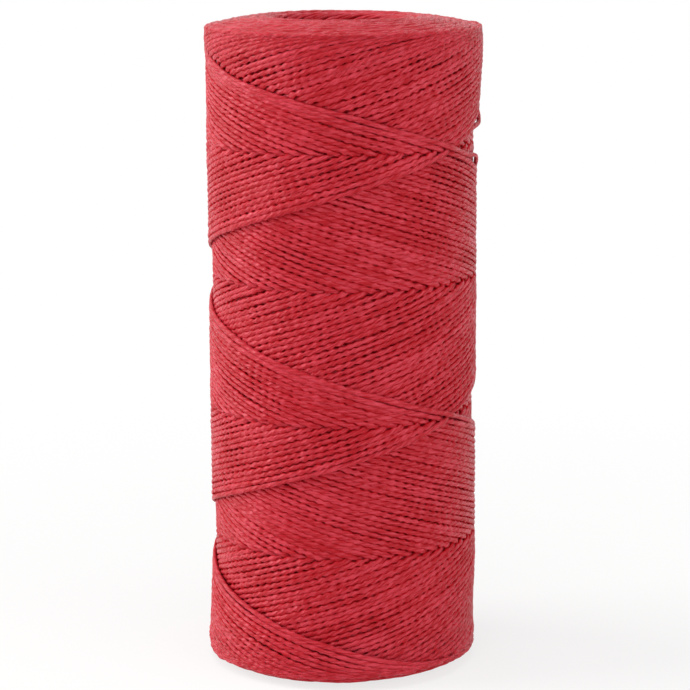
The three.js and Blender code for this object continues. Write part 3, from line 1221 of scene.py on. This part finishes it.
@dataclass(frozen=True)
class Softbox:
    """A square lamp that faces the middle of the reel."""

    name: str
    place: tuple[float, float, float]
    size: float
    power: float  # in watts

    def build(self, target: Vector) -> None:
        """Adds the lamp.

        Args:
            target: what it faces, in millimetres.
        """
        data = bpy.data.lights.new(self.name, "AREA")
        data.shape = "SQUARE"
        data.size = self.size * MM
        data.energy = self.power
        lamp = bpy.data.objects.new(self.name, data)
        bpy.context.scene.collection.objects.link(lamp)
        towards = target - Vector(self.place)
        turned = towards.to_track_quat("-Z", "Y").to_matrix().to_4x4()
        lamp.matrix_world = Matrix.Translation(Vector(self.place) * MM) @ turned


@dataclass
class Studio:
    """The photograph's camera, a pale floor, a white surround and soft lamps."""

    camera_place: tuple[float, float, float] = (0.42, -492.0, 157.6)
    camera_pitch: float = 11.0  # degrees down from level
    camera_roll: float = -0.24
    lens: float = 133.4
    sensor: float = 36.0
    lamps: tuple[Softbox, ...] = (
        Softbox("key_softbox", (-1200, 90, 568), 900, 15.5),
        Softbox("front_softbox", (-60, -900, 320), 900, 2.4),
        Softbox("fill_softbox", (650, -480, 340), 800, 3.0),
        Softbox("top_softbox", (-100, -100, 850), 600, 3.4),
    )
    lit_point: tuple[float, float, float] = (0, 0, 63)
    floor_size: float = 6000.0
    floor_colour: str = "f4f4f2"
    floor_drop: float = 0.02  # keeps the floor's face clear of the reel's
    shadow_reach: tuple[float, float] = (50.0, 250.0)  # where the soft shadow begins to fade, and has gone
    shadow_white: float = 0.75  # how white the floor stays where it takes the shadow
    surround: float = 0.18  # how much light the surround gives

    def build(self) -> None:
        """Makes the camera, the floor, the surround and the lamps."""
        self.camera()
        self.floor()
        self.world()
        for lamp in self.lamps:
            lamp.build(Vector(self.lit_point))
        bpy.context.scene.view_settings.view_transform = "Standard"

    def camera(self) -> None:
        """Places the camera as the photograph's perspective gives it."""
        data = bpy.data.cameras.new("camera")
        data.lens = self.lens
        data.sensor_width = self.sensor
        data.clip_start = 0.01
        data.clip_end = 50
        camera = bpy.data.objects.new("camera", data)
        bpy.context.scene.collection.objects.link(camera)
        pitched = Matrix.Rotation(math.radians(90 - self.camera_pitch), 4, "X")
        rolled = Matrix.Rotation(math.radians(self.camera_roll), 4, "Z")
        camera.matrix_world = Matrix.Translation(Vector(self.camera_place) * MM) @ (pitched @ rolled)
        bpy.context.scene.camera = camera

    def seen_white(self, tree: bpy.types.NodeTree) -> bpy.types.NodeSocket:
        """Adds the test that makes a surface white to the camera, in reflections and through glass.

        Args:
            tree: the node tree that it goes into.

        Returns:
            A socket that is 1 for those rays and 0 for the ones that light the object.
        """
        rays = add_node(tree, "LightPath").outputs
        reflected = {0: rays["Is Glossy Ray"], 1: rays["Is Transmission Ray"]}
        shine = add_node(tree, "Math", {"operation": "MAXIMUM"}, links=reflected)
        direct = {0: rays["Is Camera Ray"], 1: shine}
        return add_node(tree, "Math", {"operation": "MAXIMUM"}, links=direct).outputs[0]

    def floor(self) -> None:
        """Lays the floor: white to the camera, but for a part that takes the reel's soft shadow."""
        bpy.ops.object.select_all(action="DESELECT")
        bpy.ops.mesh.primitive_plane_add(size=self.floor_size * MM, location=(0, 0, -self.floor_drop * MM))
        floor = bpy.context.object
        floor.name = floor.data.name = "floor"
        bpy.ops.object.transform_apply(location=True, rotation=True, scale=True)
        material = blank_material("matt_white_floor")
        tree = material.node_tree
        matt = add_node(tree, "BsdfDiffuse", values={"Color": linear(self.floor_colour)})
        glow = add_node(tree, "Emission", values={"Color": (1, 1, 1, 1), "Strength": 1.0})
        place = add_node(tree, "TexCoord")
        away = add_node(tree, "VectorMath", {"operation": "LENGTH"}, links={0: place.outputs["Object"]})
        begins, ends = self.shadow_reach
        shadow_range = {"From Min": begins * MM, "From Max": ends * MM, "To Min": self.shadow_white}
        plain = add_node(tree, "MapRange", SMOOTHLY, shadow_range, {"Value": away.outputs["Value"]})
        both = {0: self.seen_white(tree), 1: plain}
        share = add_node(tree, "Math", {"operation": "MULTIPLY"}, links=both)
        mixed = add_node(tree, "MixShader", links={0: share, 1: matt, 2: glow})
        add_node(tree, "OutputMaterial", links={"Surface": mixed})
        floor.data.materials.append(material)

    def world(self) -> None:
        """Makes the surround: white where it is seen, and a soft even light on the object."""
        world = bpy.context.scene.world or bpy.data.worlds.new("surround")
        bpy.context.scene.world = world
        world.use_nodes = True
        tree = world.node_tree
        tree.nodes.clear()
        seen = {"Value": self.seen_white(tree)}
        strength = add_node(tree, "MapRange", {}, {"To Min": self.surround}, seen)
        light = add_node(tree, "Background", {}, {"Color": (1, 1, 1, 1)}, {"Strength": strength})
        add_node(tree, "OutputWorld", links={"Surface": light})


def dress_node(name: str, material: bpy.types.Material) -> None:
    """Gives a CAD node that stays its better material.

    Args:
        name: the node.
        material: its finish.
    """
    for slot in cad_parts[name].material_slots:
        slot.material = material


def seat(piece: bpy.types.Object, node: str) -> None:
    """Makes a piece ride with the reel and stand for a CAD node, which is hidden.

    Args:
        piece: the piece.
        node: the CAD node that it stands for.
    """
    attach(piece, "root")
    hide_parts(node)
    faces = sum(len(polygon.vertices) - 2 for polygon in piece.data.polygons)
    log.info("%s: %d triangles", piece.name, faces)


def main() -> None:
    """Builds the studio and the reel."""
    logging.basicConfig(level=logging.INFO, format="%(name)s: %(message)s")
    Studio().build()
    string = WaxedString().material()
    shape, plan, section = PackageShape(), WindingPlan(), StringSection()
    # The arcs of the end faces have fewer corners, and the lower ones plainer plies
    corners = (-0.25, -0.03, 0.1, 0.25, 0.4, 0.53)
    end_sections = {
        End.LOWER: StringSection(width=1.06, lobe=0.06, waist=0.04, corners=corners),
        End.UPPER: StringSection(width=1.06, lobe=0.1, waist=0.06, corners=corners),
    }
    outer = OuterLayer(shape, plan, section)
    for piece in outer.build(string):
        seat(piece, "outer_winding")
    seat(UnderTurns(shape, plan, outer.sheet).build(string), "inner_winding")
    for end in End:
        seat(EndTurns(shape, plan, end_sections[end]).build(end, string), "inner_winding")
    dress_node("core_tube", SpiralPaperboard().material())


if __name__ == "__main__":
    main()
